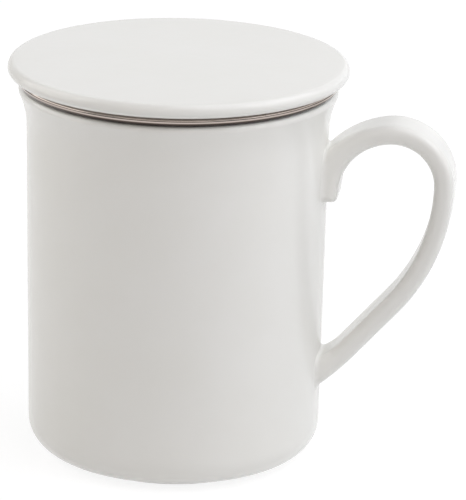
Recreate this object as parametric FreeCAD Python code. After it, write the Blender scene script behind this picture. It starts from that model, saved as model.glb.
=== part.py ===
import FreeCAD, Part
import math
import os

from FreeCAD import Vector

# Porcelain tea mug with a loose lid and a lift-out stainless steel infuser.
# Sizes are millimetres. The origin is on the mug's axis, in the plane of its foot, +Z is up
# and the handle points along +X. Each piece is made in its place, by a function of its own.

# Mug: a slip-cast beaker whose wall flares out to a rounded lip
MUG_HEIGHT = 101.6
NECK_RADIUS = 40.0
WALL_TAPER = 0.8
FLARE_WIDTH = 2.9
FLARE_ANGLE = 22.0
WALL = 2.8
HEEL_RADIUS = 8.0
FOOT_INSET = 0.7
FOOT_HEIGHT = 1.0
FOOT_WIDTH = 3.0
FOOT_RECESS = 1.2
FLOOR_THICKNESS = 3.6
INNER_CORNER_RADIUS = 7.0

# Handle: a strap bent in three arcs above a straight lower arm, its upper end run down the wall
ARM_START_DEPTH = 77.65
ARM_HEADING = 48.4
ARM_LENGTH = 27.5
BACK_RADIUS = 51.6
BACK_SWEEP = 40.5
LOOP_RADIUS = 13.7
LOOP_SWEEP = 100.5
CREST_RADIUS = 27.8
CREST_SWEEP = 42.0
CREST_INNER_SWEEP = 18.0
TAIL_BEND_RADIUS = 10.0
TAIL_HEADING = 263.0
TAIL_END_DEPTH = 29.2
TAIL_END_ROUND = 2.4
STRAP_THICKNESS = 5.3
STRAP_WIDTH = 13.0
STRAP_EDGE_ROUND = 2.0
ROOT_DEPTH = 3.0

# Infuser: a pressed collar with a rolled edge, a perforated sleeve and a perforated base
SHEET = 0.5
SLEEVE_SHEET = 0.4
SEAT_GAP = 0.2
CURL_DIAMETER = 1.9
CURL_SWEEP = 250.0
FLANGE_OVERHANG = 0.2
COLLAR_CLEARANCE = 0.9
COLLAR_BEND = 2.0
SHOULDER_DEPTH = 11.0
SHOULDER_TURN = 40.0
SKIRT_CLEARANCE = 1.65
SKIRT_DEPTH = 20.0
SLIP_FIT = 0.05
SLEEVE_OVERLAP = 4.0
SEAM_LAP = 5.0
INFUSER_DEPTH = 79.0
BASE_BEND = 1.0
BASE_SKIRT = 6.0

# Perforation: staggered rows round the sleeve and rings of holes across the base
HOLE_DIAMETER = 2.2
HOLE_SIDES = 4
SLEEVE_ROWS = 6
SLEEVE_COLUMNS = 14
FIELD_MARGIN = 4.0
BASE_RINGS = 2
BASE_RING_PITCH = 12.0

# Lid: a porcelain disc, undercut at its edge, with a locating ring that enters the collar
LID_OVERHANG = 2.15
LID_SEAT_OVERHANG = 0.1
LID_EDGE_HEIGHT = 2.7
LID_EDGE_ROUND = 1.2
LID_CROWN = 0.35
LID_THICKNESS = 3.7
LID_RING_GAP = 0.8
LID_RING_WIDTH = 2.8
LID_RING_DEPTH = 6.0
LID_RING_ROUND = 0.9
LID_INNER_FILLET = 1.6

# Heights and radii worked out from the sizes above
LOW_RADIUS = NECK_RADIUS - WALL_TAPER
RIM_RADIUS = NECK_RADIUS + FLARE_WIDTH
FOOT_RADIUS = LOW_RADIUS - HEEL_RADIUS - FOOT_INSET
ARM_START_HEIGHT = MUG_HEIGHT - ARM_START_DEPTH
TAIL_END_HEIGHT = MUG_HEIGHT - TAIL_END_DEPTH
FLANGE_RADIUS = RIM_RADIUS + FLANGE_OVERHANG
COLLAR_RADIUS = NECK_RADIUS - WALL - COLLAR_CLEARANCE
SKIRT_RADIUS = LOW_RADIUS - WALL - SKIRT_CLEARANCE
LID_RADIUS = FLANGE_RADIUS + LID_OVERHANG
LID_SEAT_RADIUS = FLANGE_RADIUS + LID_SEAT_OVERHANG
FLANGE_TOP = MUG_HEIGHT + SEAT_GAP + CURL_DIAMETER
LID_SEAT = FLANGE_TOP + SEAT_GAP
SKIRT_BOTTOM = MUG_HEIGHT - SKIRT_DEPTH
INFUSER_BOTTOM = MUG_HEIGHT - INFUSER_DEPTH
SLEEVE_RADIUS = SKIRT_RADIUS - SHEET - SLIP_FIT
SLEEVE_TOP = SKIRT_BOTTOM + SLEEVE_OVERLAP
SLEEVE_BOTTOM = INFUSER_BOTTOM + SHEET + BASE_BEND
MUG_FLOOR = FOOT_RECESS + FLOOR_THICKNESS

CENTRE = Vector(0, 0, 0)
UP = Vector(0, 0, 1)


class Outline:
    """A chain of lines and arcs in the XZ plane, drawn point by point."""

    def __init__(self, x, z):
        self.start = Vector(x, 0, z)
        self.at = self.start
        self.edges = []

    def line(self, x, z):
        """Adds a straight edge to the point."""
        end = Vector(x, 0, z)
        self.edges.append(Part.LineSegment(self.at, end).toShape())
        self.at = end
        return self

    def arc(self, x, z, centre_x, centre_z, long_way=False):
        """Adds an arc to the point about a centre, the short way round unless told otherwise."""
        end, centre = Vector(x, 0, z), Vector(centre_x, 0, centre_z)
        reach = (self.at - centre).Length * (-1 if long_way else 1)
        halfway = (self.at + end - centre * 2).normalize()
        self.edges.append(Part.Arc(self.at, centre + halfway * reach, end).toShape())
        self.at = end
        return self

    def turned(self):
        """Closes the outline and turns it about the axis into a solid."""
        self.line(self.start.x, self.start.z)
        return Part.Face(Part.Wire(self.edges)).revolve(CENTRE, UP, 360)

    def pressed(self, sheet):
        """Thickens the open outline to its left by the sheet, and turns it about the axis."""
        face = Part.Wire(self.edges).makeOffset2D(sheet, join=0, fill=True, openResult=True)
        return face.revolve(CENTRE, UP, 360)


def on_circle(centre_x, centre_z, radius, degrees):
    """The point of a circle in the XZ plane at an angle counted from +X towards +Z."""
    turn = math.radians(degrees)
    return centre_x + radius * math.cos(turn), centre_z + radius * math.sin(turn)


def outer_wall():
    """The mug's outside, from the edge of the foot over the heel and the flare to the lip."""
    heel_x, heel_z = LOW_RADIUS - HEEL_RADIUS, FOOT_HEIGHT + HEEL_RADIUS
    lip = WALL / 2
    lip_x, lip_z = RIM_RADIUS - lip, MUG_HEIGHT - lip
    edge_x, edge_z = on_circle(lip_x, lip_z, lip, -FLARE_ANGLE)
    turn = math.radians(FLARE_ANGLE)
    flare = (edge_x - NECK_RADIUS) / (1 - math.cos(turn))
    flare_x, flare_z = NECK_RADIUS + flare, edge_z - flare * math.sin(turn)
    wall = Outline(FOOT_RADIUS, 0).line(FOOT_RADIUS, FOOT_HEIGHT).line(heel_x, FOOT_HEIGHT)
    wall.arc(LOW_RADIUS, heel_z, heel_x, heel_z)
    wall.line(NECK_RADIUS, flare_z).arc(edge_x, edge_z, flare_x, flare_z)
    for degrees in (90 - FLARE_ANGLE, 180 - FLARE_ANGLE):
        wall.arc(*on_circle(lip_x, lip_z, lip, degrees), lip_x, lip_z)
    return wall, flare_x, flare_z


def mug_body():
    """The beaker: one wall from the foot ring to the rounded lip."""
    wall, flare_x, flare_z = outer_wall()
    wall.arc(NECK_RADIUS - WALL, flare_z, flare_x, flare_z)
    inside, corner_z = LOW_RADIUS - WALL, MUG_FLOOR + INNER_CORNER_RADIUS
    corner_x = inside - INNER_CORNER_RADIUS
    wall.line(inside, corner_z).arc(corner_x, MUG_FLOOR, corner_x, corner_z)
    foot_inside = FOOT_RADIUS - FOOT_WIDTH
    wall.line(0, MUG_FLOOR).line(0, FOOT_RECESS)
    wall.line(foot_inside - FOOT_RECESS, FOOT_RECESS).line(foot_inside, 0)
    return wall.turned()


def mug_block():
    """The mug's outside filled in, for trimming the handle to it."""
    wall = outer_wall()[0]
    return wall.line(0, wall.at.z).line(0, 0).turned()


class Walk:
    """An outline in the XZ plane walked by straight runs and left-hand bends."""

    def __init__(self, x, z, heading):
        self.outline = Outline(x, z)
        self.heading = heading

    def ahead(self, length):
        """Walks straight on."""
        self.outline.line(*on_circle(self.outline.at.x, self.outline.at.z, length, self.heading))
        return self

    def bend(self, radius, sweep):
        """Walks round a bend, to the left for a positive sweep."""
        side = math.copysign(90, sweep)
        centre = on_circle(self.outline.at.x, self.outline.at.z, radius, self.heading + side)
        self.heading += sweep
        self.outline.arc(*on_circle(*centre, radius, self.heading - side), *centre)
        return self


def strap_side(half, crest_sweep):
    """One side of the strap, walked from inside the wall up the arm and over the crest."""
    x, z = on_circle(NECK_RADIUS, ARM_START_HEIGHT, half, ARM_HEADING - 90)
    side = Walk(*on_circle(x, z, -2 * ROOT_DEPTH, ARM_HEADING), ARM_HEADING)
    side.ahead(ARM_LENGTH + 2 * ROOT_DEPTH).bend(BACK_RADIUS + half, BACK_SWEEP)
    return side.bend(LOOP_RADIUS + half, LOOP_SWEEP).bend(CREST_RADIUS + half, crest_sweep)


def mug_handle():
    """The handle: its side view extruded to the strap's width, edges rounded, cut to the wall."""
    outer = strap_side(STRAP_THICKNESS / 2, CREST_SWEEP)
    inner = strap_side(-STRAP_THICKNESS / 2, CREST_INNER_SWEEP)
    inner.bend(TAIL_BEND_RADIUS, TAIL_HEADING - inner.heading)
    fall = inner.outline.at.z - TAIL_END_HEIGHT - TAIL_END_ROUND * (1 + math.cos(math.radians(TAIL_HEADING)))
    inner.ahead(fall / math.sin(math.radians(TAIL_HEADING - 180)))
    inner.bend(TAIL_END_ROUND, 180 - TAIL_HEADING)
    inside = NECK_RADIUS - 2 * ROOT_DEPTH
    inner.outline.line(inside, inner.outline.at.z).line(inside, outer.outline.at.z)
    inner.outline.line(outer.outline.at.x, outer.outline.at.z)
    buried = Part.LineSegment(outer.outline.start, inner.outline.start).toShape()
    edges = Part.__sortEdges__(inner.outline.edges + outer.outline.edges + [buried])
    profile = Part.Face(Part.Wire(edges))
    strap = profile.extrude(Vector(0, STRAP_WIDTH, 0))
    strap.translate(Vector(0, -STRAP_WIDTH / 2, 0))
    rims = []
    for edge in strap.Edges:
        on_side = abs(abs(edge.CenterOfMass.y) - STRAP_WIDTH / 2) < 1e-6
        if on_side and edge.CenterOfMass.x > NECK_RADIUS:
            rims.append(edge)
    return strap.makeFillet(STRAP_EDGE_ROUND, rims).cut(mug_block())


def infuser_collar():
    """The pressed collar: a skirt, a shoulder, the neck, a flat flange and its rolled edge."""
    turn = math.radians(SHOULDER_TURN)
    bend = (COLLAR_RADIUS - SKIRT_RADIUS) / 2 / (1 - math.cos(turn))
    shoulder_top = MUG_HEIGHT - SHOULDER_DEPTH
    shoulder_bottom = shoulder_top - 2 * bend * math.sin(turn)
    middle = (SKIRT_RADIUS + COLLAR_RADIUS) / 2, (shoulder_top + shoulder_bottom) / 2
    under = FLANGE_TOP - SHEET
    bend_x, bend_z = COLLAR_RADIUS + COLLAR_BEND, under - COLLAR_BEND
    curl_x, curl_z = FLANGE_RADIUS - CURL_DIAMETER / 2, FLANGE_TOP - CURL_DIAMETER / 2
    curl_end = on_circle(curl_x, curl_z, CURL_DIAMETER / 2 - SHEET, 90 - CURL_SWEEP)
    path = Outline(SKIRT_RADIUS, SKIRT_BOTTOM).line(SKIRT_RADIUS, shoulder_bottom)
    path.arc(*middle, SKIRT_RADIUS + bend, shoulder_bottom)
    path.arc(COLLAR_RADIUS, shoulder_top, COLLAR_RADIUS - bend, shoulder_top)
    path.line(COLLAR_RADIUS, bend_z).arc(bend_x, under, bend_x, bend_z)
    path.line(curl_x, under).arc(*curl_end, curl_x, curl_z, long_way=True)
    return path.pressed(SHEET)


def hole_punch(middle, way):
    """A prism that punches one hole through a sheet, centred on the point."""
    side = way.cross(UP) if abs(way.z) < 1 else Vector(1, 0, 0)
    rise = way.cross(side)
    corners = []
    for step in range(HOLE_SIDES + 1):
        turn = 2 * math.pi * (step + 0.5) / HOLE_SIDES
        corner = side * math.cos(turn) + rise * math.sin(turn)
        corners.append(middle - way * HOLE_DIAMETER / 2 + corner * HOLE_DIAMETER / 2)
    return Part.Face(Part.makePolygon(corners)).extrude(way * HOLE_DIAMETER)


def infuser_sleeve():
    """The rolled sleeve: perforated in staggered rows, with a plain lapped seam towards +X."""
    height = SLEEVE_TOP - SLEEVE_BOTTOM
    foot = Vector(0, 0, SLEEVE_BOTTOM)
    inner = SLEEVE_RADIUS - SLEEVE_SHEET
    tube = Part.makeCylinder(SLEEVE_RADIUS, height, foot).cut(Part.makeCylinder(inner, height, foot))
    lap_angle = math.degrees(SEAM_LAP / inner)
    lap = Part.makeCylinder(inner, height, foot, UP, lap_angle)
    lap = lap.cut(Part.makeCylinder(inner - SLEEVE_SHEET, height, foot, UP, lap_angle))
    lap.rotate(CENTRE, UP, -lap_angle / 2)
    low = INFUSER_BOTTOM + BASE_SKIRT + FIELD_MARGIN
    row_pitch = (SKIRT_BOTTOM - FIELD_MARGIN - low) / (SLEEVE_ROWS - 1)
    column_pitch = 2 * math.pi / (SLEEVE_COLUMNS + 1)
    punches = []
    for row in range(SLEEVE_ROWS):
        stagger = 0.75 if row % 2 else 1.25
        for column in range(SLEEVE_COLUMNS):
            turn = (column + stagger) * column_pitch
            way = Vector(math.cos(turn), math.sin(turn), 0)
            punches.append(hole_punch(way * SLEEVE_RADIUS + UP * (low + row * row_pitch), way))
    return tube.fuse(lap).cut(Part.makeCompound(punches)).removeSplitter()


def infuser_base():
    """The pressed base: a shallow dish, perforated in rings, whose skirt wraps the sleeve."""
    bend = BASE_BEND + SHEET
    corner_x, corner_z = SKIRT_RADIUS - bend, INFUSER_BOTTOM + bend
    path = Outline(0, INFUSER_BOTTOM).line(corner_x, INFUSER_BOTTOM)
    path.arc(SKIRT_RADIUS, corner_z, corner_x, corner_z).line(SKIRT_RADIUS, INFUSER_BOTTOM + BASE_SKIRT)
    punches = [hole_punch(UP * INFUSER_BOTTOM, UP)]
    for ring in range(1, BASE_RINGS + 1):
        for step in range(6 * ring):
            turn = math.pi * step / (3 * ring)
            place = Vector(math.cos(turn), math.sin(turn), 0) * (ring * BASE_RING_PITCH)
            punches.append(hole_punch(place + UP * INFUSER_BOTTOM, UP))
    return path.pressed(SHEET).cut(Part.makeCompound(punches))


def lid():
    """The lid: a low crown, a rounded edge undercut to its flat seat, and the locating ring."""
    edge_x, edge_z = LID_RADIUS - LID_EDGE_ROUND, LID_SEAT + LID_EDGE_HEIGHT
    top = edge_z + LID_EDGE_ROUND + LID_CROWN
    crown = (edge_x ** 2 + LID_CROWN ** 2) / (2 * LID_CROWN) + LID_EDGE_ROUND
    crown_way = Vector(edge_x, 0, edge_z - top + crown).normalize() * LID_EDGE_ROUND
    reach = math.hypot(edge_x - LID_SEAT_RADIUS, LID_EDGE_HEIGHT)
    lean = math.atan2(LID_EDGE_HEIGHT, edge_x - LID_SEAT_RADIUS) - math.asin(LID_EDGE_ROUND / reach)
    bevel_end = on_circle(edge_x, edge_z, LID_EDGE_ROUND, math.degrees(lean) - 90)
    ring_out = COLLAR_RADIUS - SHEET - LID_RING_GAP
    ring_in, ring_end = ring_out - LID_RING_WIDTH, LID_SEAT - LID_RING_DEPTH
    under, nose_z = top - LID_THICKNESS, ring_end + LID_RING_ROUND
    shape = Outline(0, under).line(ring_in - LID_INNER_FILLET, under)
    shape.arc(ring_in, under - LID_INNER_FILLET, ring_in - LID_INNER_FILLET, under - LID_INNER_FILLET)
    shape.line(ring_in, nose_z).arc(ring_in + LID_RING_ROUND, ring_end, ring_in + LID_RING_ROUND, nose_z)
    shape.line(ring_out - LID_RING_ROUND, ring_end)
    shape.arc(ring_out, nose_z, ring_out - LID_RING_ROUND, nose_z)
    shape.line(ring_out, LID_SEAT).line(LID_SEAT_RADIUS, LID_SEAT).line(*bevel_end)
    shape.arc(edge_x + crown_way.x, edge_z + crown_way.z, edge_x, edge_z)
    shape.arc(0, top, 0, top - crown)
    return shape.turned()


def build():
    """Makes every piece and writes each one under its own name."""
    os.makedirs("parts", exist_ok=True)
    for make in (mug_body, mug_handle, infuser_collar, infuser_sleeve, infuser_base, lid):
        piece = make()
        print(make.__name__, piece.isValid(), len(piece.Solids), "solid", round(piece.Volume), "mm3")
        piece.exportStep(f"parts/{make.__name__}.step")


build()
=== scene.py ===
import logging
import math
from dataclasses import dataclass
from enum import Enum
from typing import Any

import bpy
import numpy as np
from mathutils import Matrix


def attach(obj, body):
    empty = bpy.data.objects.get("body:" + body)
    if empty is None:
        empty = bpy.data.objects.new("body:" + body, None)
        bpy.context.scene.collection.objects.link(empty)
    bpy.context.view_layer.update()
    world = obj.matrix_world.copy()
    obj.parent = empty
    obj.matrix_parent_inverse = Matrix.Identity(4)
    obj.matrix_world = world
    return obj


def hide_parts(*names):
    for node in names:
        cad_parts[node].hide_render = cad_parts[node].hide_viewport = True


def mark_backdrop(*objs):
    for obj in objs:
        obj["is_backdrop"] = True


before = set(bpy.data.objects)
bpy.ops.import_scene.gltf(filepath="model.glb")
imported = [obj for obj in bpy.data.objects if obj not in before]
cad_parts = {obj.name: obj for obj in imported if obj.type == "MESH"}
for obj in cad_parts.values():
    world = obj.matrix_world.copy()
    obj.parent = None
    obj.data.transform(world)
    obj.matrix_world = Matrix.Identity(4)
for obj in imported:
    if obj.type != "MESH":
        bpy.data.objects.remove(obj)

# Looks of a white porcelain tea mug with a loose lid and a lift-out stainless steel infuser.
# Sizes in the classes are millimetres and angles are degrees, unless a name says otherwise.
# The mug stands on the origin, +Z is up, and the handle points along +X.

import openvdb
from mathutils import Matrix, Vector

LOG = logging.getLogger("tea_mug")
MM = 0.001
ARC_STEP = 0.4
CHUNK = 20000
ON_AXIS = 1e-6
# A colour Mix node's inputs A and B, and its result, which it has once for each kind of data.
MIX_A, MIX_B, MIX_RESULT = 6, 7, 2
# Heights on the rolled edge, and the colour at each: painted reflection of what the polished roll mirrors
# and painted shade of the dark gap below it, as fine dark and light rings.
ROLL_PAINTED_LIGHT = ((102.08, "#433936"), (102.26, "#564b47"), (102.40, "#a0958e"), (102.50, "#beb4ac"),
              (102.70, "#beb4ac"), (102.82, "#463d3a"), (102.92, "#463d3a"), (103.04, "#a69c95"),
              (103.60, "#8c827b"))
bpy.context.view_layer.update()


# Shared helpers

def linear(code: str) -> tuple[float, float, float, float]:
    """Turn an sRGB hex colour into linear values.

    Args:
        code: the colour as "#rrggbb".

    Returns:
        Linear red, green and blue, with an alpha of 1.
    """
    channels = (int(code[at:at + 2], 16) / 255 for at in (1, 3, 5))
    return (*(c / 12.92 if c <= 0.04045 else ((c + 0.055) / 1.055) ** 2.4 for c in channels), 1.0)


def add_node(tree: bpy.types.NodeTree, kind: str, inputs: dict[Any, Any] | None = None,
             **settings: Any) -> bpy.types.Node:
    """Add a node with its settings and links.

    Args:
        tree: the tree that gets the node.
        kind: Blender's name for the node.
        inputs: for each input, by name or number, a value or the socket that feeds it.
        settings: properties of the node itself.

    Returns:
        The new node.
    """
    node = tree.nodes.new(kind)
    for name, value in settings.items():
        setattr(node, name, value)
    feed(tree, node, inputs or {})
    return node


def feed(tree: bpy.types.NodeTree, node: bpy.types.Node, inputs: dict[Any, Any]) -> None:
    """Set a node's inputs.

    Args:
        tree: the tree that the node is in.
        node: the node.
        inputs: for each input, by name or number, a value or the socket that feeds it.
    """
    for key, value in inputs.items():
        if isinstance(value, bpy.types.NodeSocket):
            tree.links.new(value, node.inputs[key])
        else:
            node.inputs[key].default_value = value


def new_material(name: str) -> tuple[bpy.types.Material, bpy.types.NodeTree, bpy.types.Node]:
    """Start a material.

    Args:
        name: the material's name, which says what is made of it and how.

    Returns:
        The material, its nodes and its Principled shader.
    """
    material = bpy.data.materials.new(name)
    material.use_nodes = True
    return material, material.node_tree, material.node_tree.nodes["Principled BSDF"]


def new_object(name: str, data: bpy.types.ID) -> bpy.types.Object:
    """Put a new object into the scene.

    Args:
        name: the object's name.
        data: the mesh, lamp or camera that it holds.

    Returns:
        The object, at the origin.
    """
    thing = bpy.data.objects.new(name, data)
    bpy.context.scene.collection.objects.link(thing)
    return thing


def mesh_piece(name: str, points: np.ndarray, faces: list[tuple[int, ...]],
               sharp_above: float = 40.0) -> bpy.types.Object:
    """Make an object from points and faces, smooth except at sharp edges.

    Args:
        name: the piece's name.
        points: its points in millimetres.
        faces: its faces as point numbers, all wound the same way round.
        sharp_above: edges that turn by more than this many degrees stay sharp.

    Returns:
        The object, linked to the scene, with its faces pointing outwards.
    """
    mesh = bpy.data.meshes.new(name)
    mesh.from_pydata((points * MM).tolist(), [], faces)
    mesh.calc_loop_triangles()
    corners = np.array([t.vertices[:] for t in mesh.loop_triangles])
    a, b, c = (points[corners[:, k]] for k in range(3))
    if np.einsum("ij,ij->i", a, np.cross(b, c)).sum() < 0:
        mesh.flip_normals()
    mesh.polygons.foreach_set("use_smooth", [True] * len(mesh.polygons))
    mesh.set_sharp_from_angle(angle=math.radians(sharp_above))
    return new_object(name, mesh)


class Outline:
    """A line of points in the plane of radius and height, drawn by straight runs and arcs."""

    def __init__(self, r: float, z: float, step: float = 1.5) -> None:
        """Start the outline at a point.

        Args:
            r: the point's radius.
            z: its height.
            step: the longest straight step.
        """
        self.points: list[tuple[float, float]] = [(r, z)]
        self.step = step

    def line(self, r: float, z: float) -> "Outline":
        """Draw a straight run in even steps.

        Args:
            r: radius of the point that it runs to.
            z: height of that point.

        Returns:
            The outline itself.
        """
        r0, z0 = self.points[-1]
        count = max(1, math.ceil(math.hypot(r - r0, z - z0) / self.step))
        for n in range(1, count + 1):
            self.points.append((r0 + (r - r0) * n / count, z0 + (z - z0) * n / count))
        return self

    def arc(self, centre_r: float, centre_z: float, sweep: float, fine: float = 7.0) -> "Outline":
        """Draw an arc about a centre.

        Args:
            centre_r: the centre's radius.
            centre_z: the centre's height.
            sweep: how far it turns, anticlockwise if positive.
            fine: the largest turn from point to point.

        Returns:
            The outline itself.
        """
        r0, z0 = self.points[-1]
        reach, start = math.hypot(r0 - centre_r, z0 - centre_z), math.atan2(z0 - centre_z, r0 - centre_r)
        count = max(2, math.ceil(abs(sweep) / fine), math.ceil(math.radians(abs(sweep)) * reach / self.step))
        for n in range(1, count + 1):
            turn = start + math.radians(sweep) * n / count
            self.points.append((centre_r + reach * math.cos(turn), centre_z + reach * math.sin(turn)))
        return self

    def quarter(self, r: float, z: float, upright_first: bool, count: int = 12) -> "Outline":
        """Draw a quarter of an ellipse whose axes are level and upright.

        Args:
            r: radius of the point that it runs to.
            z: height of that point.
            upright_first: whether it sets out upright and ends level, or the other way round.
            count: how many steps make the quarter.

        Returns:
            The outline itself.
        """
        r0, z0 = self.points[-1]
        for n in range(1, count + 1):
            part = math.pi / 2 * n / count
            early, late = 1 - math.cos(part), math.sin(part)
            across, rise = (early, late) if upright_first else (late, early)
            self.points.append((r0 + (r - r0) * across, z0 + (z - z0) * rise))
        return self

    def thick(self, sheet: float) -> "Outline":
        """Make the open outline a closed one, thickened to its left.

        Args:
            sheet: the thickness of the sheet.

        Returns:
            The outline itself.
        """
        path = np.array(self.points)
        way = np.gradient(path, axis=0)
        way /= np.linalg.norm(way, axis=1)[:, None]
        other = path + np.stack([-way[:, 1], way[:, 0]], axis=1) * sheet
        self.points = [tuple(p) for p in path] + [tuple(p) for p in other[::-1]]
        return self


def lathe(name: str, outline: Outline, segments: int = 192, sharp_above: float = 40.0) -> bpy.types.Object:
    """Turn an outline about the mug's axis into a closed piece.

    Args:
        name: the piece's name.
        outline: the section; an end that lies on the axis becomes a pole.
        segments: how many steps make the full turn.
        sharp_above: edges that turn by more than this many degrees stay sharp.

    Returns:
        The turned piece.
    """
    turns = np.linspace(0, 2 * math.pi, segments, endpoint=False)
    points: list[tuple[float, float, float]] = []
    rings: list[list[int]] = []
    for r, z in outline.points:
        if r < ON_AXIS:
            rings.append([len(points)] * segments)
            points.append((0.0, 0.0, z))
        else:
            rings.append(list(range(len(points), len(points) + segments)))
            points.extend((r * math.cos(t), r * math.sin(t), z) for t in turns)
    faces: list[tuple[int, ...]] = []
    on_axis = outline.points[0][0] < ON_AXIS
    for low, high in zip(rings, rings[1:] if on_axis else rings[1:] + rings[:1]):
        for n in range(segments):
            face = tuple(dict.fromkeys((low[n], low[n - 1], high[n - 1], high[n])))
            if len(face) > 2:
                faces.append(face)
    return mesh_piece(name, np.array(points), faces, sharp_above)


# Finishes

class Grain(Enum):
    """Which way the fine lines of a metal surface run."""

    ROUND = "round the axis, from spinning and polishing"
    UPRIGHT = "up the wall, from rolling the sheet"


@dataclass(frozen=True)
class GlazedPorcelain:
    """Hard porcelain under a clear gloss glaze: a cool white with a wet, faintly rippled skin."""

    colour: str = "#eeedea"
    thin_colour: str = "#e9e8e3"
    drift_mm: float = 22.0
    ripple_mm: float = 5.0
    speck_mm: float = 0.35

    def make(self) -> bpy.types.Material:
        """Build the material.

        Returns:
            The glazed porcelain.
        """
        material, tree, shader = new_material("glazed_hard_porcelain")
        place = add_node(tree, "ShaderNodeTexCoord").outputs["Object"]
        # A fired glaze pools a little, so its tone drifts slowly over centimetres.
        drift = add_node(tree, "ShaderNodeTexNoise",
                         {"Vector": place, "Scale": 1 / (self.drift_mm * MM), "Detail": 3.0,
                          "Roughness": 0.5})
        tone = add_node(tree, "ShaderNodeMix", {
            "Factor": drift.outputs["Fac"], MIX_A: linear(self.colour), MIX_B: linear(self.thin_colour)},
            data_type="RGBA")
        gloss = add_node(tree, "ShaderNodeMapRange",
                         {"Value": drift.outputs["Fac"], "To Min": 0.20, "To Max": 0.26})
        ripple = add_node(tree, "ShaderNodeTexNoise", {
            "Vector": place, "Scale": 1 / (self.ripple_mm * MM), "Detail": 2.0})
        speck = add_node(tree, "ShaderNodeTexNoise", {
            "Vector": place, "Scale": 1 / (self.speck_mm * MM), "Detail": 1.0})
        wave = add_node(tree, "ShaderNodeBump", {
            "Height": ripple.outputs["Fac"], "Strength": 0.10, "Distance": 0.25 * MM})
        fine = add_node(tree, "ShaderNodeBump", {
            "Height": speck.outputs["Fac"], "Strength": 0.04, "Distance": 0.02 * MM,
            "Normal": wave.outputs["Normal"]})
        feed(tree, shader, {
            "Base Color": tone.outputs[MIX_RESULT], "Roughness": gloss.outputs["Result"],
            "Normal": fine.outputs["Normal"], "IOR": 1.52, "Coat Weight": 0.1, "Coat Roughness": 0.08,
            "Coat IOR": 1.5})
        return material


@dataclass(frozen=True)
class BareFoot:
    """Fired porcelain left bare where it stood in the kiln, then polished: matt and a little greyer."""

    colour: str = "#dcd9d1"
    grit_mm: float = 0.5

    def make(self) -> bpy.types.Material:
        """Build the material.

        Returns:
            The bare porcelain.
        """
        material, tree, shader = new_material("bare_polished_porcelain")
        place = add_node(tree, "ShaderNodeTexCoord").outputs["Object"]
        grit = add_node(tree, "ShaderNodeTexNoise",
                        {"Vector": place, "Scale": 1 / (self.grit_mm * MM), "Detail": 4.0, "Roughness": 0.6})
        value = add_node(tree, "ShaderNodeMapRange",
                         {"Value": grit.outputs["Fac"], "To Min": 0.92, "To Max": 1.03})
        shade = add_node(tree, "ShaderNodeHueSaturation",
                         {"Color": linear(self.colour), "Value": value.outputs["Result"]})
        bump = add_node(tree, "ShaderNodeBump", {
            "Height": grit.outputs["Fac"], "Strength": 0.25, "Distance": 0.04 * MM})
        feed(tree, shader, {"Base Color": shade.outputs["Color"], "Roughness": 0.62,
                            "Normal": bump.outputs["Normal"]})
        return material


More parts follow.
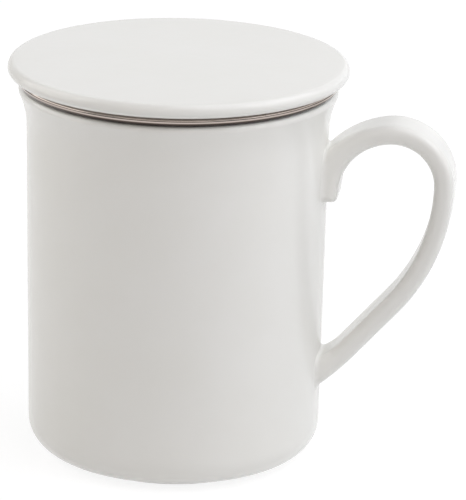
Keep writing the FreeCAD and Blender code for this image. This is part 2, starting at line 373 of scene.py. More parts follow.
@dataclass(frozen=True)
class StainlessSteel:
    """Stainless steel sheet, polished or satin, with the fine lines that its making leaves."""

    name: str
    grain: Grain
    roughness: float
    colour: str = "#b6ada6"
    line_mm: float = 0.22
    wrap_radius: float = 34.2
    upright_stretch: float = 0.04
    smudge_mm: float = 9.0
    # The last two give the radius beyond which the rolled edge gets painted reflection and painted shade,
    # and the heights and colours of that painting; plain sheet has none.
    painted_light_from: float = 41.0
    roll_painted_light: tuple[tuple[float, str], ...] = ()

    def paint_roll_light(self, tree: bpy.types.NodeTree, radius: bpy.types.NodeSocket,
                 height: bpy.types.NodeSocket) -> bpy.types.NodeSocket:
        """Tone the rolled edge by its height with painted reflection and painted shade.

        The tones are painted reflection and painted shade: they stand in for what a polished roll mirrors
        and for the dark gap below it, so that the rim reads as fine dark and light rings. They are tone
        only: the mesh has no crease.

        Args:
            tree: the material's nodes.
            radius: the distance from the axis.
            height: the height in the object's frame.

        Returns:
            The metal's colour.
        """
        low, high = self.roll_painted_light[0][0], self.roll_painted_light[-1][0]
        along = add_node(tree, "ShaderNodeMapRange", {
            "Value": height, "From Min": low * MM, "From Max": high * MM})
        ramp = add_node(tree, "ShaderNodeValToRGB", {"Fac": along.outputs["Result"]})
        stops = ramp.color_ramp.elements
        while len(stops) < len(self.roll_painted_light):
            stops.new(0.5)
        for stop, (level, tone) in zip(stops, self.roll_painted_light):
            stop.position, stop.color = (level - low) / (high - low), linear(tone)
        # Only the roll, beyond this radius, gets the painted reflection and shade; the rest keeps the
        # steel's own colour.
        outside = add_node(tree, "ShaderNodeMath", {0: radius, 1: self.painted_light_from * MM},
                           operation="GREATER_THAN")
        return add_node(tree, "ShaderNodeMix", {
            "Factor": outside.outputs[0], MIX_A: linear(self.colour), MIX_B: ramp.outputs["Color"]},
            data_type="RGBA").outputs[MIX_RESULT]

    def make(self) -> bpy.types.Material:
        """Build the material.

        Returns:
            The steel.
        """
        material, tree, shader = new_material(self.name)
        place = add_node(tree, "ShaderNodeTexCoord").outputs["Object"]
        apart = add_node(tree, "ShaderNodeSeparateXYZ", {"Vector": place})
        radius = add_node(tree, "ShaderNodeVectorMath", {0: add_node(
            tree, "ShaderNodeCombineXYZ", {"X": apart.outputs["X"], "Y": apart.outputs["Y"]}).outputs[0]},
            operation="LENGTH")
        if self.grain is Grain.ROUND:
            across = {"X": radius.outputs["Value"], "Y": apart.outputs["Z"]}
        else:
            angle = add_node(tree, "ShaderNodeMath", {0: apart.outputs["Y"], 1: apart.outputs["X"]},
                             operation="ARCTAN2")
            arc_length = add_node(tree, "ShaderNodeMath", {0: angle.outputs[0], 1: self.wrap_radius * MM},
                                  operation="MULTIPLY")
            along = add_node(tree, "ShaderNodeMath", {0: apart.outputs["Z"], 1: self.upright_stretch},
                             operation="MULTIPLY")
            across = {"X": arc_length.outputs[0], "Y": along.outputs[0]}
        lines_at = add_node(tree, "ShaderNodeCombineXYZ", across)
        lines = add_node(tree, "ShaderNodeTexNoise", {
            "Vector": lines_at.outputs[0], "Scale": 1 / (self.line_mm * MM), "Detail": 4.0,
            "Roughness": 0.65})
        smudge = add_node(tree, "ShaderNodeTexNoise", {
            "Vector": place, "Scale": 1 / (self.smudge_mm * MM), "Detail": 2.0})
        both = add_node(tree, "ShaderNodeMath", {0: lines.outputs["Fac"], 1: smudge.outputs["Fac"]},
                        operation="ADD")
        gloss = add_node(tree, "ShaderNodeMapRange", {
            "Value": both.outputs[0], "From Min": 0.6, "From Max": 1.4, "To Min": self.roughness * 0.8,
            "To Max": self.roughness * 1.25})
        bump = add_node(tree, "ShaderNodeBump", {
            "Height": lines.outputs["Fac"], "Strength": 0.12, "Distance": 0.01 * MM})
        # Steel with the height table gets painted reflection and painted shade on its roll; other steel
        # keeps its plain colour.
        colour = (self.paint_roll_light(tree, radius.outputs["Value"], apart.outputs["Z"]) if self.roll_painted_light
                  else linear(self.colour))
        feed(tree, shader, {"Base Color": colour, "Metallic": 1.0, "Roughness": gloss.outputs["Result"],
                            "Normal": bump.outputs["Normal"]})
        return material


# The mug

@dataclass
class MugBody:
    """The slip-cast beaker: foot ring, round heel, almost straight wall, flare and rounded lip."""

    height: float = 101.3
    neck_radius: float = 40.0
    low_radius: float = 39.2
    rim_radius: float = 42.15
    flare_angle: float = 24.0
    wall: float = 2.8
    heel_radius: float = 8.0
    foot_inset: float = 0.7
    foot_height: float = 1.0
    foot_width: float = 3.0
    foot_recess: float = 1.2
    foot_edge: float = 0.15
    foot_root: float = 0.3
    floor_thickness: float = 3.6
    inner_corner: float = 7.0

    @property
    def flare(self) -> tuple[float, float, float]:
        """Give the arc that flares the wall's outside.

        Returns:
            Its centre's radius and height, and its own radius.
        """
        lip = self.wall / 2
        turn = math.radians(self.flare_angle)
        edge_r = self.rim_radius - lip + lip * math.cos(turn)
        edge_z = self.height - lip - lip * math.sin(turn)
        radius = (edge_r - self.neck_radius) / (1 - math.cos(turn))
        return self.neck_radius + radius, edge_z - radius * math.sin(turn), radius

    def outside_radius(self, z: np.ndarray) -> np.ndarray:
        """Give the wall's outside radius at each height between the heel and the lip.

        Args:
            z: the heights.

        Returns:
            The radius at each height.
        """
        centre_r, centre_z, radius = self.flare
        heel_top = self.foot_height + self.heel_radius
        straight = self.low_radius + (self.neck_radius - self.low_radius) * (
            (z - heel_top) / (centre_z - heel_top))
        rise = np.clip(z - centre_z, 0, radius * 0.9)
        return np.where(z < centre_z, straight, centre_r - np.sqrt(radius ** 2 - rise ** 2))

    def build(self) -> bpy.types.Object:
        """Turn the beaker in one piece, from the middle of the underside round to the floor.

        Returns:
            The beaker.
        """
        heel_r = self.low_radius - self.heel_radius
        foot = heel_r - self.foot_inset
        flare_r, flare_z, _ = self.flare
        lip = self.wall / 2
        lip_r, lip_z = self.rim_radius - lip, self.height - lip
        inside = foot - self.foot_width
        floor = self.foot_recess + self.floor_thickness
        shape = Outline(0, self.foot_recess).line(inside - self.foot_recess, self.foot_recess)
        shape.line(inside, self.foot_edge).line(inside + self.foot_edge, 0)
        shape.line(foot - self.foot_edge, 0).line(foot, self.foot_edge)
        shape.line(foot, self.foot_height - self.foot_root).line(foot + self.foot_root, self.foot_height)
        shape.line(heel_r, self.foot_height).arc(heel_r, self.foot_height + self.heel_radius, 90.0)
        shape.line(self.neck_radius, flare_z).arc(flare_r, flare_z, -self.flare_angle)
        shape.arc(lip_r, lip_z, 180.0).arc(flare_r, flare_z, self.flare_angle)
        corner_z = floor + self.inner_corner
        shape.line(self.low_radius - self.wall, corner_z)
        shape.arc(self.low_radius - self.wall - self.inner_corner, corner_z, -90.0).line(0, floor)
        return lathe("porcelain_body", shape, segments=256)

    def dress(self, piece: bpy.types.Object, glaze: bpy.types.Material, bare: bpy.types.Material) -> None:
        """Glaze the beaker and leave the ring that it stands on bare.

        Args:
            piece: the beaker.
            glaze: the glazed porcelain.
            bare: the bare porcelain.
        """
        piece.data.materials.append(glaze)
        piece.data.materials.append(bare)
        for face in piece.data.polygons:
            face.material_index = int(face.center.z < self.foot_edge * MM)


@dataclass
class Handle:
    """The ear handle: a strap bent in three arcs above a straight arm, its tail run down the wall."""

    body: MugBody
    arm_start: float = 23.95
    arm_heading: float = 48.4
    arm_length: float = 27.5
    bends: tuple[tuple[float, float], ...] = ((51.6, 40.5), (13.7, 100.5), (23.3, 51.0))
    outer_root: tuple[float, float, float] = (38.0, 70.0, 10.0)
    inner_root: tuple[float, float, float] = (10.0, 13.0, 9.0)
    crest_inner_sweep: float = 4.0
    tail_bend: float = 14.0
    tail_heading: float = 263.0
    tail_end: float = 72.4
    tail_round: float = 1.6
    thickness: float = 5.3
    width: float = 13.6
    edge_round: float = 2.3
    fillet: float = 1.2
    buried: float = 6.0
    cell: float = 0.4
    sunk: float = 0.03
    skin: float = 0.8
    box_low: float = 12.0
    box_reach: float = 76.0
    box_top: float = 100.0
    settle_steps: int = 3

    def side(self, half: float, root: tuple[float, float, float],
             crest_sweep: float) -> tuple[list[tuple[float, float]], float]:
        """Walk one side of the strap, from inside the wall up the arm and over the crest.

        Args:
            half: how far to the right of the middle line this side runs.
            root: the heading that it leaves the wall with, the radius that bends it into the arm,
                and how far up the arm that bend ends.
            crest_sweep: how far it turns on the crest's arc.

        Returns:
            The points of the side, and the heading at its end.
        """
        heading, flat = math.radians(self.arm_heading), math.radians(root[0])
        ahead = np.array([math.cos(heading), math.sin(heading)])
        foot = np.array([self.body.neck_radius + half * ahead[1], self.arm_start - half * ahead[0]])
        centre = foot + ahead * root[2] + root[1] * np.array([-ahead[1], ahead[0]])
        start = centre + root[1] * np.array([math.sin(flat), -math.cos(flat)])
        walk = [tuple(start - self.buried * np.array([math.cos(flat), math.sin(flat)])), tuple(start)]
        self.bend(walk, flat, root[1], self.arm_heading - root[0])
        walk.append(tuple(foot + ahead * self.arm_length))
        bends = [(radius + half, sweep) for radius, sweep in self.bends]
        bends[-1] = (bends[-1][0], crest_sweep)
        for radius, sweep in bends:
            heading = self.bend(walk, heading, radius, sweep)
        return walk, heading

    @staticmethod
    def bend(walk: list[tuple[float, float]], heading: float, radius: float, sweep: float) -> float:
        """Add an arc to a walk.

        Args:
            walk: the points so far, which gain the arc's.
            heading: the way ahead at its last point, in radians.
            radius: the arc's radius.
            sweep: how far it turns, to the left if positive.

        Returns:
            The heading after the arc, in radians.
        """
        x, z = walk[-1]
        reach = math.copysign(radius, sweep)
        centre_x, centre_z = x - reach * math.sin(heading), z + reach * math.cos(heading)
        count = math.ceil(radius * math.radians(abs(sweep)) / ARC_STEP)
        for n in range(1, count + 1):
            turn = heading + math.radians(sweep) * n / count
            walk.append((centre_x + reach * math.sin(turn), centre_z - reach * math.cos(turn)))
        return heading + math.radians(sweep)

    def profile(self) -> np.ndarray:
        """Draw the side view of the handle, with both ends buried in the wall.

        Returns:
            The points of the closed profile.
        """
        outer, _ = self.side(self.thickness / 2, self.outer_root, self.bends[-1][1])
        inner, heading = self.side(-self.thickness / 2, self.inner_root, self.crest_inner_sweep)
        heading = self.bend(inner, heading, self.tail_bend, self.tail_heading - math.degrees(heading))
        tail_z = self.tail_end + self.tail_round * (1 + math.cos(heading))
        drop = (inner[-1][1] - tail_z) / -math.sin(heading)
        inner.append((inner[-1][0] + drop * math.cos(heading), inner[-1][1] + drop * math.sin(heading)))
        self.bend(inner, heading, self.tail_round, 180.0 - self.tail_heading)
        inside = self.body.neck_radius - self.buried
        inner.extend([(inside, self.tail_end), (inside, outer[-1][1])])
        return np.array(inner + outer[::-1])

    def flat_distance(self, x: np.ndarray, z: np.ndarray, loop: np.ndarray) -> np.ndarray:
        """Give the signed distance from points of the side view to the profile.

        Args:
            x: the points' places along X.
            z: their heights.
            loop: the closed profile.

        Returns:
            The distance of each, negative inside.
        """
        start, way = loop, np.roll(loop, -1, axis=0) - loop
        length = np.maximum((way ** 2).sum(axis=1), 1e-12)
        result = np.empty(x.shape)
        for at in range(0, x.size, CHUNK):
            some = slice(at, at + CHUNK)
            dx, dz = x[some, None] - start[:, 0], z[some, None] - start[:, 1]
            share = np.clip((dx * way[:, 0] + dz * way[:, 1]) / length, 0, 1)
            gap = np.hypot(dx - share * way[:, 0], dz - share * way[:, 1]).min(axis=1)
            crosses = (dz < 0) != (dz < way[:, 1])
            slope = dx < way[:, 0] * dz / np.where(way[:, 1] == 0, 1e-12, way[:, 1])
            inside = (crosses & slope).sum(axis=1) % 2 == 1
            result[some] = np.where(inside, -gap, gap)
        return result

    def distance(self, side_view: np.ndarray,
                 points: tuple[np.ndarray, np.ndarray, np.ndarray]) -> np.ndarray:
        """Give the distance to the rounded strap, melted into the wall by the fillet.

        Args:
            side_view: the signed distance in the side view, at each point.
            points: X, Y and Z of the points.

        Returns:
            The signed distance, kept just under the wall's surface away from the fillet.
        """
        x, y, z = points
        flat = side_view + self.edge_round
        across = np.abs(y) - self.width / 2 + self.edge_round
        strap = (np.minimum(np.maximum(flat, across), 0)
                 + np.hypot(np.maximum(flat, 0), np.maximum(across, 0)) - self.edge_round)
        wall = np.hypot(x, y) - self.body.outside_radius(z)
        blend = np.maximum(self.fillet - np.abs(strap - wall), 0) / self.fillet
        joined = np.minimum(strap, wall) - blend ** 2 * self.fillet / 4
        return np.maximum(joined + self.sunk, -(wall + self.skin))

    def build(self) -> bpy.types.Object:
        """Model the handle as a distance field and take its surface, moved onto the exact form.

        Returns:
            The handle.
        """
        loop = self.profile()
        low = np.array([self.body.neck_radius - 4, -self.width / 2 - 5, self.box_low])
        top = np.array([self.box_reach, self.width / 2 + 5, self.box_top])
        counts = np.ceil((top - low) / self.cell).astype(int)
        x, y, z = (low[k] + np.arange(counts[k]) * self.cell for k in range(3))
        flat = self.flat_distance(*(a.ravel() for a in np.meshgrid(x, z, indexing="ij")), loop)
        flat = np.repeat(flat.reshape(len(x), 1, len(z)), len(y), axis=1)
        field_values = self.distance(flat, tuple(np.meshgrid(x, y, z, indexing="ij")))
        grid = openvdb.FloatGrid(self.cell * 3)
        grid.copyFromArray((np.clip(field_values, -1, 1) / self.cell).astype(np.float32))
        points, quads = grid.convertToQuads(isovalue=0.0)
        points = low + points.astype(float) * self.cell
        for _ in range(self.settle_steps):
            points = self.settle(points, loop)
        return mesh_piece("porcelain_handle", points, [tuple(q) for q in quads.tolist()], 50.0)

    def settle(self, points: np.ndarray, loop: np.ndarray) -> np.ndarray:
        """Move points one step along the field's slope onto the surface.

        Args:
            points: the points near the surface.
            loop: the closed profile of the side view.

        Returns:
            The points after the step.
        """
        small, flattest, furthest = 0.02, 0.25, 0.1
        values = []
        for step in np.vstack([np.zeros(3), np.eye(3) * small]):
            x, y, z = (points + step).T
            values.append(self.distance(self.flat_distance(x, z, loop), (x, y, z)))
        here = values[0]
        slope = np.stack([(value - here) / small for value in values[1:]], axis=1)
        size = np.maximum((slope ** 2).sum(axis=1), flattest)
        move = -(here / size)[:, None] * slope
        return points + np.clip(move, -furthest, furthest)


# The infuser

@dataclass
class Infuser:
    """The lift-out infuser: pressed collar with a rolled edge, punched sleeve and punched base."""

    rim: float = 101.3
    sheet: float = 0.5
    sleeve_sheet: float = 0.4
    seat_gap: float = 0.2
    curl: float = 2.2
    curl_sweep: float = 250.0
    flange_radius: float = 42.4
    collar_radius: float = 36.3
    collar_bend: float = 2.0
    shoulder_depth: float = 11.0
    shoulder_turn: float = 40.0
    skirt_radius: float = 34.75
    skirt_depth: float = 20.0
    slip: float = 0.05
    overlap: float = 4.0
    depth: float = 79.0
    base_bend: float = 1.0
    base_skirt: float = 6.0
    lap: float = 5.0
    hole: float = 1.25
    hole_margin: float = 2.5
    columns: int = 92
    rows: int = 26
    base_columns: int = 27
    base_rows: int = 31
    base_pitch: float = 2.35
    base_clear: float = 5.0

    @property
    def flange_top(self) -> float:
        """Height of the flange's upper face."""
        return self.rim + self.seat_gap + self.curl

    def build_collar(self) -> bpy.types.Object:
        """Turn the collar from its skirt's lower edge to the end of the rolled edge.

        Returns:
            The collar.
        """
        turn = math.radians(self.shoulder_turn)
        bend = (self.collar_radius - self.skirt_radius) / 2 / (1 - math.cos(turn))
        top = self.rim - self.shoulder_depth
        bottom = top - 2 * bend * math.sin(turn)
        under = self.flange_top - self.sheet
        bend_z = under - self.collar_bend
        path = Outline(self.skirt_radius, self.rim - self.skirt_depth).line(self.skirt_radius, bottom)
        path.arc(self.skirt_radius + bend, bottom, -self.shoulder_turn)
        path.arc(self.collar_radius - bend, top, self.shoulder_turn)
        path.line(self.collar_radius, bend_z).arc(self.collar_radius + self.collar_bend, bend_z, -90.0)
        curl_r = self.flange_radius - self.curl / 2
        path.line(curl_r, under).arc(curl_r, self.flange_top - self.curl / 2, -self.curl_sweep, fine=12.0)
        return lathe("steel_collar", path.thick(self.sheet), segments=256)

    def build_sleeve(self) -> bpy.types.Object:
        """Roll the sleeve from one sheet, its end lapped inside its start at the seam.

        Returns:
            The sleeve, not yet perforated.
        """
        outer = self.skirt_radius - self.sheet - self.slip
        low = self.rim - self.depth + self.sheet + self.base_bend
        high = self.rim - self.skirt_depth + self.overlap
        heights = np.linspace(low, high, 16)
        start = -self.lap / 2 / outer
        turns = np.linspace(start, start + 2 * math.pi + self.lap / outer, 220)
        past = np.clip((turns - turns[0] - 2 * math.pi + 2 * self.lap / outer) / (self.lap / outer), 0, 1)
        radii = outer - (self.sleeve_sheet + self.slip) * past ** 2 * (3 - 2 * past)
        layers = []
        for inset in (0.0, self.sleeve_sheet):
            ring = np.stack([(radii - inset) * np.cos(turns), (radii - inset) * np.sin(turns)], axis=1)
            layers.append(np.concatenate([np.column_stack([ring, np.full(len(ring), z)]) for z in heights]))
        points = np.concatenate(layers)
        wide, count = len(turns), len(turns) * len(heights)
        faces: list[tuple[int, ...]] = []
        for row in range(len(heights) - 1):
            for n in range(wide - 1):
                a = row * wide + n
                faces.append((a, a + 1, a + wide + 1, a + wide))
                faces.append((count + a, count + a + wide, count + a + wide + 1, count + a + 1))
            for a in (row * wide, row * wide + wide - 1):
                side = (a, a + wide, count + a + wide, count + a)
                faces.append(side if a % wide == 0 else side[::-1])
        for row in (0, len(heights) - 1):
            for n in range(wide - 1):
                a = row * wide + n
                side = (a, count + a, count + a + 1, a + 1)
                faces.append(side if row == 0 else side[::-1])
        return mesh_piece("steel_sleeve", points, faces, 30.0)

    def build_base(self) -> bpy.types.Object:
        """Press the base: a shallow dish whose skirt wraps the sleeve.

        Returns:
            The base, not yet perforated.
        """
        bottom, bend = self.rim - self.depth, self.base_bend + self.sheet
        path = Outline(0.0, bottom).line(self.skirt_radius - bend, bottom)
        path.arc(self.skirt_radius - bend, bottom + bend, 90.0)
        path.line(self.skirt_radius, bottom + self.base_skirt)
        return lathe("steel_base", path.thick(self.sheet), segments=192)

    def punch_sleeve(self, piece: bpy.types.Object, steel: bpy.types.Material) -> None:
        """Punch staggered rows of holes round the sleeve, clear of its seam and its ends.

        Args:
            piece: the sleeve.
            steel: the finish of the punched sheet.
        """
        outer = self.skirt_radius - self.sheet - self.slip
        low = self.rim - self.depth + self.base_skirt + self.hole_margin
        high = self.rim - self.skirt_depth - self.hole_margin
        wide = 2 * math.pi * outer - self.lap - 2 * self.hole_margin
        Perforation(Field.WALL, self.hole, self.columns, self.rows, wide * (1 - 1 / (2 * self.columns - 1)),
                    high - low, (low + high) / 2, outer).apply(piece, steel)

    def punch_base(self, piece: bpy.types.Object, steel: bpy.types.Material) -> None:
        """Punch a triangular field of holes across the base's floor.

        Args:
            piece: the base.
            steel: the finish of the punched sheet.
        """
        Perforation(Field.DISC, self.hole, self.base_columns, self.base_rows,
                    (self.base_columns - 1) * self.base_pitch,
                    (self.base_rows - 1) * self.base_pitch * math.sqrt(3) / 2, self.rim - self.depth,
                    self.skirt_radius - self.base_clear).apply(piece, steel)


class Field(Enum):
    """Where a field of holes lies."""

    WALL = "staggered rows round an upright wall"
    DISC = "a triangular field on a level disc"


@dataclass
class Perforation:
    """A field of punched holes, laid out and cut by Geometry Nodes."""

    place: Field
    hole: float
    columns: int
    rows: int
    wide: float
    tall: float
    level: float
    radius: float
    sides: int = 8
    reach: float = 3.0

    def inputs(self) -> dict[str, float | int]:
        """Give the tree's named inputs, with lengths in metres."""
        return {"Hole Radius": self.hole / 2 * MM, "Columns": self.columns, "Rows": self.rows,
                "Field Width": self.wide * MM, "Field Height": self.tall * MM,
                "Stagger": self.wide / (self.columns - 1) / 2 * MM, "Level": self.level * MM,
                "Field Radius": self.radius * MM}

    def tree(self, steel: bpy.types.Material) -> bpy.types.NodeTree:
        """Build the tree: lay out a grid, stagger and bend it, punch it through, set the steel.

        Args:
            steel: the finish of the punched sheet.

        Returns:
            The tree.
        """
        tree = bpy.data.node_groups.new(f"perforation_{self.place.name.lower()}", "GeometryNodeTree")
        tree.interface.new_socket("Geometry", in_out="INPUT", socket_type="NodeSocketGeometry")
        for name, value in self.inputs().items():
            kind = "NodeSocketInt" if isinstance(value, int) else "NodeSocketFloat"
            tree.interface.new_socket(name, in_out="INPUT", socket_type=kind).default_value = value
        tree.interface.new_socket("Geometry", in_out="OUTPUT", socket_type="NodeSocketGeometry")
        given = add_node(tree, "NodeGroupInput").outputs
        grid = add_node(tree, "GeometryNodeMeshGrid", {
            "Size X": given["Field Width"], "Size Y": given["Field Height"],
            "Vertices X": given["Columns"], "Vertices Y": given["Rows"]})
        # The grid numbers its points up each column, so the rest after the rows is the row's number.
        number = add_node(tree, "GeometryNodeInputIndex").outputs[0]
        row = add_node(tree, "ShaderNodeMath", {0: number, 1: given["Rows"]}, operation="FLOORED_MODULO")
        odd = add_node(tree, "ShaderNodeMath", {0: row.outputs[0], 1: 2.0}, operation="FLOORED_MODULO")
        even_out = add_node(tree, "ShaderNodeMath", {0: odd.outputs[0], 1: 0.5}, operation="SUBTRACT")
        shift = add_node(tree, "ShaderNodeMath", {0: even_out.outputs[0], 1: given["Stagger"]},
                         operation="MULTIPLY")
        here = add_node(tree, "GeometryNodeInputPosition").outputs[0]
        apart = add_node(tree, "ShaderNodeSeparateXYZ", {0: here}).outputs
        along = add_node(tree, "ShaderNodeMath", {0: apart["X"], 1: shift.outputs[0]}, operation="ADD")
        level = add_node(tree, "ShaderNodeCombineXYZ", {"Z": given["Level"]})
        flat = add_node(tree, "ShaderNodeVectorMath", {0: here, 1: (1.0, 1.0, 0.0)}, operation="MULTIPLY")
        punch = {}
        if self.place is Field.WALL:
            # Bent round the axis, the middle of the field comes opposite the seam, at -X.
            back = add_node(tree, "ShaderNodeMath", {0: given["Field Radius"], 1: -1.0},
                            operation="MULTIPLY")
            upright = add_node(tree, "ShaderNodeCombineXYZ", {"X": back.outputs[0], "Z": apart["Y"]})
            angle = add_node(tree, "ShaderNodeMath", {0: along.outputs[0], 1: given["Field Radius"]},
                             operation="DIVIDE")
            spot = add_node(tree, "ShaderNodeVectorRotate", {
                "Vector": upright.outputs[0], "Angle": angle.outputs[0]}, rotation_type="Z_AXIS")
            facing = add_node(tree, "FunctionNodeAlignRotationToVector", {"Vector": flat.outputs[0]},
                              axis="Z")
            punch["Rotation"] = facing.outputs[0]
        else:
            spot = add_node(tree, "ShaderNodeCombineXYZ", {"X": along.outputs[0], "Y": apart["Y"]})
        placed = add_node(tree, "GeometryNodeSetPosition", {
            "Geometry": grid.outputs["Mesh"], "Position": spot.outputs[0], "Offset": level.outputs[0]})
        reach = add_node(tree, "ShaderNodeVectorMath", {0: flat.outputs[0]}, operation="LENGTH")
        limit = add_node(tree, "ShaderNodeMath", {0: given["Field Radius"], 1: given["Hole Radius"]},
                         operation="ADD")
        chosen = add_node(tree, "ShaderNodeMath", {0: reach.outputs["Value"], 1: limit.outputs[0]},
                          operation="LESS_THAN")
        pin = add_node(tree, "GeometryNodeMeshCylinder", {
            "Vertices": self.sides, "Radius": given["Hole Radius"], "Depth": self.reach * MM})
        punches = add_node(tree, "GeometryNodeInstanceOnPoints", {
            "Points": placed.outputs[0], "Selection": chosen.outputs[0], "Instance": pin.outputs["Mesh"],
            **punch})
        real = add_node(tree, "GeometryNodeRealizeInstances", {"Geometry": punches.outputs[0]})
        cut = add_node(tree, "GeometryNodeMeshBoolean", {
            "Mesh 1": given["Geometry"], "Mesh 2": real.outputs[0]}, operation="DIFFERENCE",
            solver="MANIFOLD")
        whole = add_node(tree, "GeometryNodeRealizeInstances", {"Geometry": cut.outputs["Mesh"]})
        done = add_node(tree, "GeometryNodeSetMaterial", {"Geometry": whole.outputs[0], "Material": steel})
        add_node(tree, "NodeGroupOutput", {"Geometry": done.outputs[0]})
        return tree

    def apply(self, piece: bpy.types.Object, steel: bpy.types.Material) -> None:
        """Cut the holes and keep the result as a plain mesh.

        Args:
            piece: the sheet that gets the holes.
            steel: the finish of the punched sheet.
        """
        modifier = piece.modifiers.new("perforation", "NODES")
        modifier.node_group = self.tree(steel)
        sockets = {item.name: item.identifier for item in modifier.node_group.interface.items_tree
                   if item.in_out == "INPUT"}
        for name, value in self.inputs().items():
            modifier[sockets[name]] = value
        graph = bpy.context.evaluated_depsgraph_get()
        mesh = bpy.data.meshes.new_from_object(piece.evaluated_get(graph))
        piece.modifiers.clear()
        piece.data = mesh
        mesh.polygons.foreach_set("use_smooth", [True] * len(mesh.polygons))
        mesh.set_sharp_from_angle(angle=math.radians(30))


# The lid

@dataclass
class Lid:
    """The loose porcelain lid: a low crown, an undercut rounded edge and a locating ring below."""

    flange_top: float = 103.7
    seat_gap: float = 0.2
    radius: float = 45.0
    seat_radius: float = 42.5
    under_round: float = 1.75
    top_round: tuple[float, float] = (1.7, 2.1)
    crown: float = 0.35
    thickness: float = 3.7
    ring_radius: float = 35.0
    ring_width: float = 2.8
    ring_depth: float = 6.0
    ring_round: float = 0.9
    ring_lead: tuple[float, float] = (0.1, 0.3)
    inner_fillet: float = 1.6

    def build(self) -> bpy.types.Object:
        """Turn the lid from the middle of its underside, round the ring and the edge, to its top.

        Returns:
            The lid.
        """
        seat = self.flange_top + self.seat_gap
        widest = seat + self.under_round
        shoulder_r, shoulder_z = self.radius - self.top_round[0], widest + self.top_round[1]
        top = shoulder_z + self.crown
        dome = (shoulder_r ** 2 + self.crown ** 2) / (2 * self.crown)
        ring_in, ring_end = self.ring_radius - self.ring_width, seat - self.ring_depth
        under, nose = top - self.thickness, ring_end + self.ring_round
        shape = Outline(0, under).line(ring_in - self.inner_fillet, under)
        shape.arc(ring_in - self.inner_fillet, under - self.inner_fillet, -90.0)
        shape.line(ring_in, nose).arc(ring_in + self.ring_round, nose, 90.0)
        shape.line(self.ring_radius - self.ring_round, ring_end)
        shape.arc(self.ring_radius - self.ring_round, nose, 90.0)
        shape.line(self.ring_radius, seat - self.ring_lead[1])
        shape.line(self.ring_radius + self.ring_lead[0], seat)
        shape.line(self.seat_radius, seat).quarter(self.radius, widest, upright_first=False)
        shape.quarter(shoulder_r, shoulder_z, upright_first=True)
        shape.arc(0, top - dome, math.degrees(math.asin(shoulder_r / dome)))
        shape.points[-1] = (0.0, top)
        return lathe("porcelain_lid", shape, segments=256)


# The studio

@dataclass(frozen=True)
class Softbox:
    """A square soft lamp that hangs at an azimuth and an elevation and faces the mug."""

    name: str
    azimuth: float
    elevation: float
    power: float
    colour: str = "#ffffff"
    side: float = 1.8
    distance: float = 1.5
    aim_height: float = 0.055

    def hang(self) -> None:
        """Hang the lamp. Its side and its places are metres and its power is watts."""
        lamp = bpy.data.lights.new(self.name, "AREA")
        lamp.shape, lamp.size, lamp.energy = "SQUARE", self.side, self.power
        lamp.color = linear(self.colour)[:3]
        holder = new_object(self.name, lamp)
        azimuth, elevation = math.radians(self.azimuth), math.radians(self.elevation)
        out = Vector((math.cos(azimuth) * math.cos(elevation), math.sin(azimuth) * math.cos(elevation),
                      math.sin(elevation)))
        place = Vector((0, 0, self.aim_height)) + out * self.distance
        holder.matrix_world = Matrix.Translation(place) @ out.to_track_quat("Z", "Y").to_matrix().to_4x4()


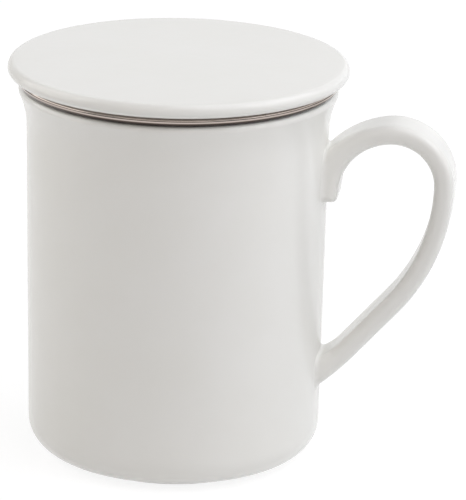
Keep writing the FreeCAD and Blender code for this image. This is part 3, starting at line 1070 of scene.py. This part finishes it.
@dataclass
class Studio:
    """A pale floor, a white surround, soft lamps and the camera."""

    heading: float = 8.0
    distance: float = 1000.0
    height: float = 379.38
    yaw: float = 0.0152
    pitch: float = 0.3133
    roll: float = 0.0203
    lens: float = 283.41
    sensor: float = 36.0
    nearest: float = 0.05
    floor_half: float = 3.0
    floor_paint: str = "#f2f2f2"
    floor_seen: str = "#808080"
    floor_glow: float = 0.86
    lamps: tuple[Softbox, ...] = (
        Softbox("left_softbox", 180.0, 28.0, 11.7, "#fffefb", 1.5),
        Softbox("front_softbox", -90.0, 35.0, 5.3, "#fff4ea"),
        Softbox("front_right_softbox", -30.0, 35.0, 5.2, "#f4f8ff"),
        Softbox("right_softbox", 0.0, 28.0, 4.8, side=1.5),
        Softbox("overhead_softbox", 0.0, 60.0, 15.4, "#f8faff"),
        Softbox("back_softbox", 60.0, 35.0, 3.0))

    @staticmethod
    def seen(tree: bpy.types.NodeTree) -> bpy.types.NodeSocket:
        """Tell the rays that look at the surround from those that carry light to the mug.

        Args:
            tree: the node tree that gets the nodes.

        Returns:
            A socket that is 1 for camera, glossy and transmission rays, and 0 for others.
        """
        rays = add_node(tree, "ShaderNodeLightPath").outputs
        shown = add_node(tree, "ShaderNodeMath", {0: rays["Is Camera Ray"], 1: rays["Is Glossy Ray"]},
                         operation="MAXIMUM")
        return add_node(tree, "ShaderNodeMath", {0: shown.outputs[0], 1: rays["Is Transmission Ray"]},
                        operation="MAXIMUM").outputs[0]

    def build_floor(self) -> bpy.types.Object:
        """Lay the floor that the mug stands on.

        Returns:
            The floor, marked as no part of the object.
        """
        half = self.floor_half
        mesh = bpy.data.meshes.new("studio_floor")
        mesh.from_pydata([(-half, -half, 0), (half, -half, 0), (half, half, 0), (-half, half, 0)], [],
                         [(0, 1, 2, 3)])
        floor = new_object("studio_floor", mesh)
        material, tree, _ = new_material("white_studio_floor")
        tree.nodes.clear()
        paint = add_node(tree, "ShaderNodeBsdfDiffuse", {"Color": linear(self.floor_paint)})
        glow = add_node(tree, "ShaderNodeEmission", {"Strength": self.floor_glow})
        # The eye gets most of the floor's white from its glow, so the mug's shadow on it stays faint.
        shaded = add_node(tree, "ShaderNodeBsdfDiffuse", {"Color": linear(self.floor_seen)})
        both = add_node(tree, "ShaderNodeAddShader", {0: shaded.outputs[0], 1: glow.outputs[0]})
        mixed = add_node(tree, "ShaderNodeMixShader", {0: self.seen(tree), 1: paint.outputs[0],
                                                       2: both.outputs[0]})
        add_node(tree, "ShaderNodeOutputMaterial", {"Surface": mixed.outputs[0]})
        mesh.materials.append(material)
        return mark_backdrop(floor) or floor

    def build_world(self) -> None:
        """Surround the scene with white for the eye, while the lamps alone light the surfaces."""
        bpy.context.scene.world = world = bpy.data.worlds.new("white_surround")
        world.use_nodes = True
        tree = world.node_tree
        tree.nodes.clear()
        glow = add_node(tree, "ShaderNodeBackground",
                        {"Color": linear("#ffffff"), "Strength": self.seen(tree)})
        add_node(tree, "ShaderNodeOutputWorld", {"Surface": glow.outputs[0]})

    def place_camera(self) -> None:
        """Stand the camera where the photograph was taken from."""
        turn = Matrix.Rotation(math.radians(self.heading), 3, "Z")
        ahead = Vector((math.sin(self.yaw) * math.cos(self.pitch), math.cos(self.yaw) * math.cos(self.pitch),
                        -math.sin(self.pitch)))
        right = Vector((math.cos(self.yaw), -math.sin(self.yaw), 0))
        up = right.cross(ahead)
        rolled_right = right * math.cos(self.roll) + up * math.sin(self.roll)
        rolled_up = up * math.cos(self.roll) - right * math.sin(self.roll)
        axes = Matrix((turn @ rolled_right, turn @ rolled_up, turn @ -ahead)).transposed()
        camera = bpy.data.cameras.new("camera")
        camera.lens, camera.sensor_width, camera.clip_start = self.lens, self.sensor, self.nearest
        holder = new_object("camera", camera)
        place = turn @ Vector((0, -self.distance, self.height)) * MM
        holder.matrix_world = Matrix.Translation(place) @ axes.to_4x4()
        bpy.context.scene.camera = holder


def main() -> None:
    """Build every sub-assembly in order, put it on its body, and light the scene."""
    logging.basicConfig(level=logging.INFO, format="%(name)s: %(message)s")
    glaze, bare = GlazedPorcelain().make(), BareFoot().make()
    # The polished collar carries painted reflection and painted shade as rings on its rolled edge.
    polished = StainlessSteel("polished_stainless_steel", Grain.ROUND, 0.16, roll_painted_light=ROLL_PAINTED_LIGHT).make()
    satin = StainlessSteel("satin_stainless_sheet", Grain.UPRIGHT, 0.30, "#b9b5b1", 0.5).make()

    beaker = MugBody()
    body = beaker.build()
    beaker.dress(body, glaze, bare)
    handle = Handle(beaker).build()
    handle.data.materials.append(glaze)

    infuser = Infuser(rim=beaker.height)
    collar = infuser.build_collar()
    collar.data.materials.append(polished)
    sleeve, base = infuser.build_sleeve(), infuser.build_base()
    infuser.punch_sleeve(sleeve, satin)
    infuser.punch_base(base, satin)

    lid = Lid(flange_top=infuser.flange_top).build()
    lid.data.materials.append(glaze)

    for piece, node, owner, slot in (
            (body, "mug_body", "mug", "porcelain"), (handle, "mug_handle", "mug", "porcelain"),
            (collar, "infuser_collar", "infuser", "polished_steel"),
            (sleeve, "infuser_sleeve", "infuser", "sheet_steel"),
            (base, "infuser_base", "infuser", "sheet_steel"), (lid, "lid", "lid", "porcelain")):
        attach(piece, owner)
        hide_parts(node)
        LOG.info("%s rides on %s with %d faces", piece.name, owner, len(piece.data.polygons))

    studio = Studio()
    studio.build_floor()
    studio.build_world()
    for lamp in studio.lamps:
        lamp.hang()
    studio.place_camera()
    bpy.context.scene.view_settings.view_transform = "Standard"


if __name__ == "__main__":
    main()
